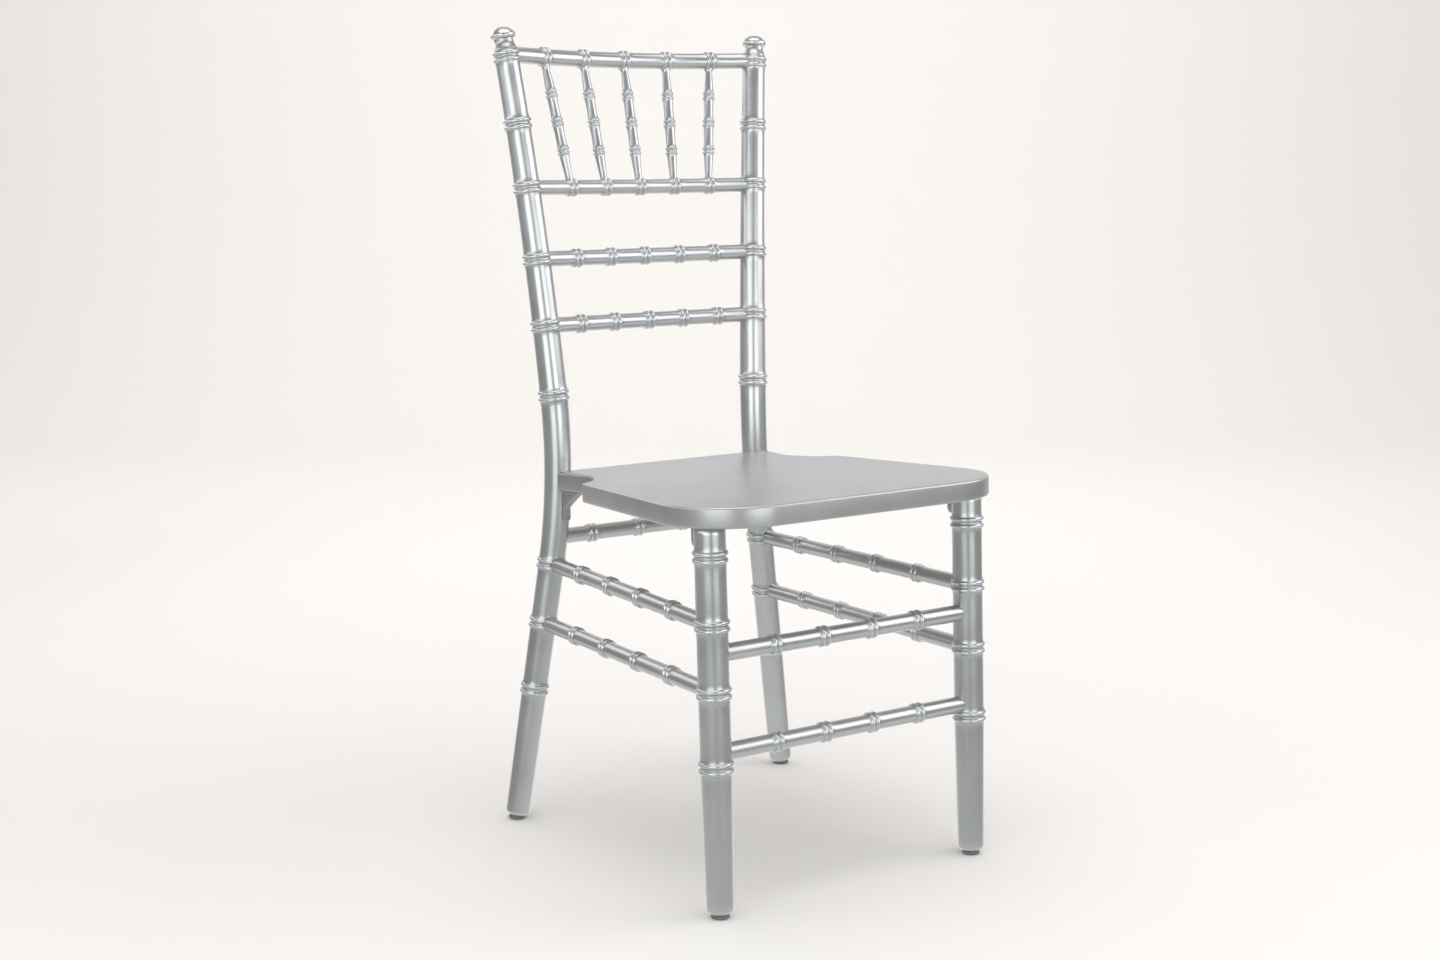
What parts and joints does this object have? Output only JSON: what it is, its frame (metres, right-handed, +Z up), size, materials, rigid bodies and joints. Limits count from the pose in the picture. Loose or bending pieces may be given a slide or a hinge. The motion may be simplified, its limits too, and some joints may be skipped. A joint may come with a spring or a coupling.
{
  "type": "ballroom chair",
  "caption": "Armless stacking ballroom chair with bamboo-style turned posts, bowed back rails with fanned spindles, slab seat and turned stretchers, painted silver.",
  "frame": {"origin": "on the floor, under the middle of the whole chair's bounding box", "axes": "+Z up from the floor, -Y to the front of the seat, +X to the sitter's left; the chair is symmetric about X = 0"},
  "size_m": [0.4076, 0.4951, 0.9144],
  "materials": {
    "silver_frame": "metallic silver lacquer over turned wood, semi-gloss",
    "silver_seat": "metallic silver lacquer over a flat wooden slab, satin",
    "steel_fasteners": "zinc-plated steel",
    "grey_glides": "moulded nylon, dark grey"
  },
  "bodies": {
    "root": {"rear_post_left": "silver_frame", "rear_post_right": "silver_frame", "front_leg_left": "silver_frame", "front_leg_right": "silver_frame", "seat_panel": "silver_seat", "top_rail": "silver_frame", "spindle_rail": "silver_frame", "back_rail_upper": "silver_frame", "back_rail_lower": "silver_frame", "spindle_1": "silver_frame", "spindle_2": "silver_frame", "spindle_3": "silver_frame", "spindle_4": "silver_frame", "spindle_5": "silver_frame", "front_stretcher_upper": "silver_frame", "front_stretcher_lower": "silver_frame", "side_stretcher_left_upper": "silver_frame", "side_stretcher_left_lower": "silver_frame", "side_stretcher_right_upper": "silver_frame", "side_stretcher_right_lower": "silver_frame", "rear_stretcher": "silver_frame", "rear_corner_block_left": "silver_frame", "rear_corner_block_right": "silver_frame", "front_corner_block_left": "silver_frame", "front_corner_block_right": "silver_frame", "seat_bolts": "steel_fasteners", "barrel_nuts": "steel_fasteners", "block_screws": "steel_fasteners", "glide_nails": "steel_fasteners", "foot_glide_front_left": "grey_glides", "foot_glide_front_right": "grey_glides", "foot_glide_rear_left": "grey_glides", "foot_glide_rear_right": "grey_glides"}
  },
  "joints": []
}
